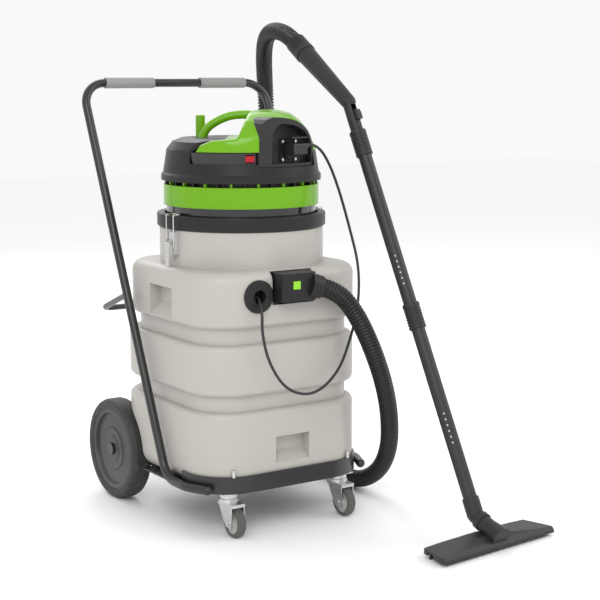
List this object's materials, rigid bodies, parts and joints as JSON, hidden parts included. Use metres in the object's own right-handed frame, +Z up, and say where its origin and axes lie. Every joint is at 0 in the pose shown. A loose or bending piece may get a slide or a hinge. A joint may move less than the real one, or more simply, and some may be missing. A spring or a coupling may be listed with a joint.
{
  "type": "wet dry floor scrubber",
  "caption": "Upright tank cleaner on a wheeled push trolley with latched motor head, corrugated suction hose, metal wand and floor tool.",
  "frame": {"origin": "centre of the footprint of the object without its hose and cable, on the floor", "axes": "+Z up, front towards -Y, +X to the right as seen from the front"},
  "size_m": [0.7754, 1.1048, 1.2461],
  "materials": {
    "frame_black": "satin",
    "bar_grey": "satin",
    "grip_grey": "matt",
    "steel": "satin",
    "zinc": "satin",
    "tyre": "matt",
    "wheel_grey": "satin",
    "core_grey": "satin",
    "caster_tread": "matt",
    "tank_grey": "satin",
    "head_black": "satin",
    "dark_grey": "satin",
    "shine_black": "gloss",
    "green": "gloss",
    "button_green": "gloss",
    "red": "gloss",
    "gasket": "matt",
    "tube_grey": "satin",
    "hose_black": "matt",
    "filter_cloth": "matt"
  },
  "bodies": {
    "machine": {"base_frame": "frame_black", "cable_grommet": "head_black", "cable_post": "green", "caster_stems": "zinc", "collar": "shine_black", "filter_basket": "filter_cloth", "float_cage": "dark_grey", "frame_bolts": "steel", "grips": "grip_grey", "head_flange": "head_black", "head_gasket": "gasket", "inlet_housing": "head_black", "latch_plates": "zinc", "lower_tube": "tube_grey", "motor_cover": "head_black", "motor_plate": "dark_grey", "pump": "dark_grey", "pump_cable": "hose_black", "pump_plug": "hose_black", "pump_socket": "head_black", "push_handle": "frame_black", "rear_axle": "steel", "rear_bar": "bar_grey", "socket_housing": "dark_grey", "socket_screws": "steel", "suction_hose": "hose_black", "suction_motors": "dark_grey", "switch_panel": "head_black", "tank": "tank_grey", "tool_elbow": "dark_grey", "top_cover": "green", "upper_tube": "tube_grey", "vent_band": "green", "vent_core": "head_black", "wand_cuff": "head_black", "wand_handle": "dark_grey", "wand_sleeves": "dark_grey"},
    "right_wheel": {"right_tyre": "tyre", "right_wheel_disc": "wheel_grey"},
    "left_wheel": {"left_tyre": "tyre", "left_wheel_disc": "wheel_grey"},
    "right_swivel": {"right_caster_fork": "zinc"},
    "left_swivel": {"left_caster_fork": "zinc"},
    "right_caster_wheel": {"right_caster_core": "core_grey", "right_caster_tread": "caster_tread"},
    "left_caster_wheel": {"left_caster_core": "core_grey", "left_caster_tread": "caster_tread"},
    "right_latch": {"right_latch_lever": "zinc"},
    "left_latch": {"left_latch_lever": "zinc"},
    "right_latch_wire": {"right_latch_bail": "zinc"},
    "left_latch_wire": {"left_latch_bail": "zinc"},
    "switch": {"rocker": "red"},
    "lid": {"socket_lid": "head_black"},
    "button": {"release_button": "button_green"},
    "slider": {"suction_slider": "dark_grey"},
    "floor_tool": {"tool_body": "dark_grey", "tool_strips": "gasket", "swivel_ring": "dark_grey"},
    "float": {"float_ball": "dark_grey"}
  },
  "joints": [
    {"name": "right_wheel_spin", "type": "hinge", "parent": "machine", "child": "right_wheel", "pos_m": [-0.101, 0.4, 0.132], "axis": [1, 0, 0], "continuous": true},
    {"name": "right_caster_turn", "type": "hinge", "parent": "machine", "child": "right_swivel", "pos_m": [0.061, -0.043, 0.09], "axis": [0, 0, 1], "continuous": true},
    {"name": "right_caster_roll", "type": "hinge", "parent": "right_swivel", "child": "right_caster_wheel", "pos_m": [0.061, -0.071, 0.0375], "axis": [1, 0, 0], "continuous": true},
    {"name": "right_latch_open", "type": "hinge", "parent": "machine", "child": "right_latch", "pos_m": [0.118, 0.131, 0.704], "axis": [0, -1, 0], "range_deg": [0, 95]},
    {"name": "right_wire_lift", "type": "hinge", "parent": "right_latch", "child": "right_latch_wire", "pos_m": [0.118, 0.131, 0.694], "axis": [0, -1, 0], "range_deg": [-112, 0]},
    {"name": "left_wheel_spin", "type": "hinge", "parent": "machine", "child": "left_wheel", "pos_m": [-0.101, 0.4, 0.132], "axis": [1, 0, 0], "continuous": true},
    {"name": "left_caster_turn", "type": "hinge", "parent": "machine", "child": "left_swivel", "pos_m": [-0.263, -0.043, 0.09], "axis": [0, 0, 1], "continuous": true},
    {"name": "left_caster_roll", "type": "hinge", "parent": "left_swivel", "child": "left_caster_wheel", "pos_m": [-0.263, -0.071, 0.0375], "axis": [1, 0, 0], "continuous": true},
    {"name": "left_latch_open", "type": "hinge", "parent": "machine", "child": "left_latch", "pos_m": [-0.32, 0.131, 0.704], "axis": [0, 1, 0], "range_deg": [0, 95]},
    {"name": "left_wire_lift", "type": "hinge", "parent": "left_latch", "child": "left_latch_wire", "pos_m": [-0.32, 0.131, 0.694], "axis": [0, 1, 0], "range_deg": [-112, 0]},
    {"name": "switch_press", "type": "hinge", "parent": "machine", "child": "switch", "pos_m": [-0.17759, -0.01154, 0.907], "axis": [0.831, -0.5563, 0], "range_deg": [-9, 0]},
    {"name": "lid_lift", "type": "hinge", "parent": "machine", "child": "lid", "pos_m": [-0.0551, 0.00557, 0.95], "axis": [-0.981, -0.1942, 0], "range_deg": [0, 14], "stiffness_Nm_per_rad": 0.02, "springref_deg": -34.38},
    {"name": "button_press", "type": "slide", "parent": "machine", "child": "button", "axis": [0, 1, 0], "range_m": [0, 0.003], "stiffness_N_per_m": 600},
    {"name": "slider_open", "type": "slide", "parent": "machine", "child": "slider", "axis": [-0.045, 0.4281, 0.9026], "range_m": [0, 0.016]},
    {"name": "tool_swivel", "type": "hinge", "parent": "machine", "child": "floor_tool", "pos_m": [0.19891, -0.49211, 0.04], "axis": [-0.0969, 0.9221, 0.3746], "range_deg": [-40, 40]},
    {"name": "float_rise", "type": "slide", "parent": "machine", "child": "float", "axis": [0, 0, 1], "range_m": [0, 0.03]}
  ],
  "couplings": [
    {"joint": "right_wire_lift", "follows": "right_latch_open", "ratio": -1.15},
    {"joint": "left_wire_lift", "follows": "left_latch_open", "ratio": -1.15}
  ]
}
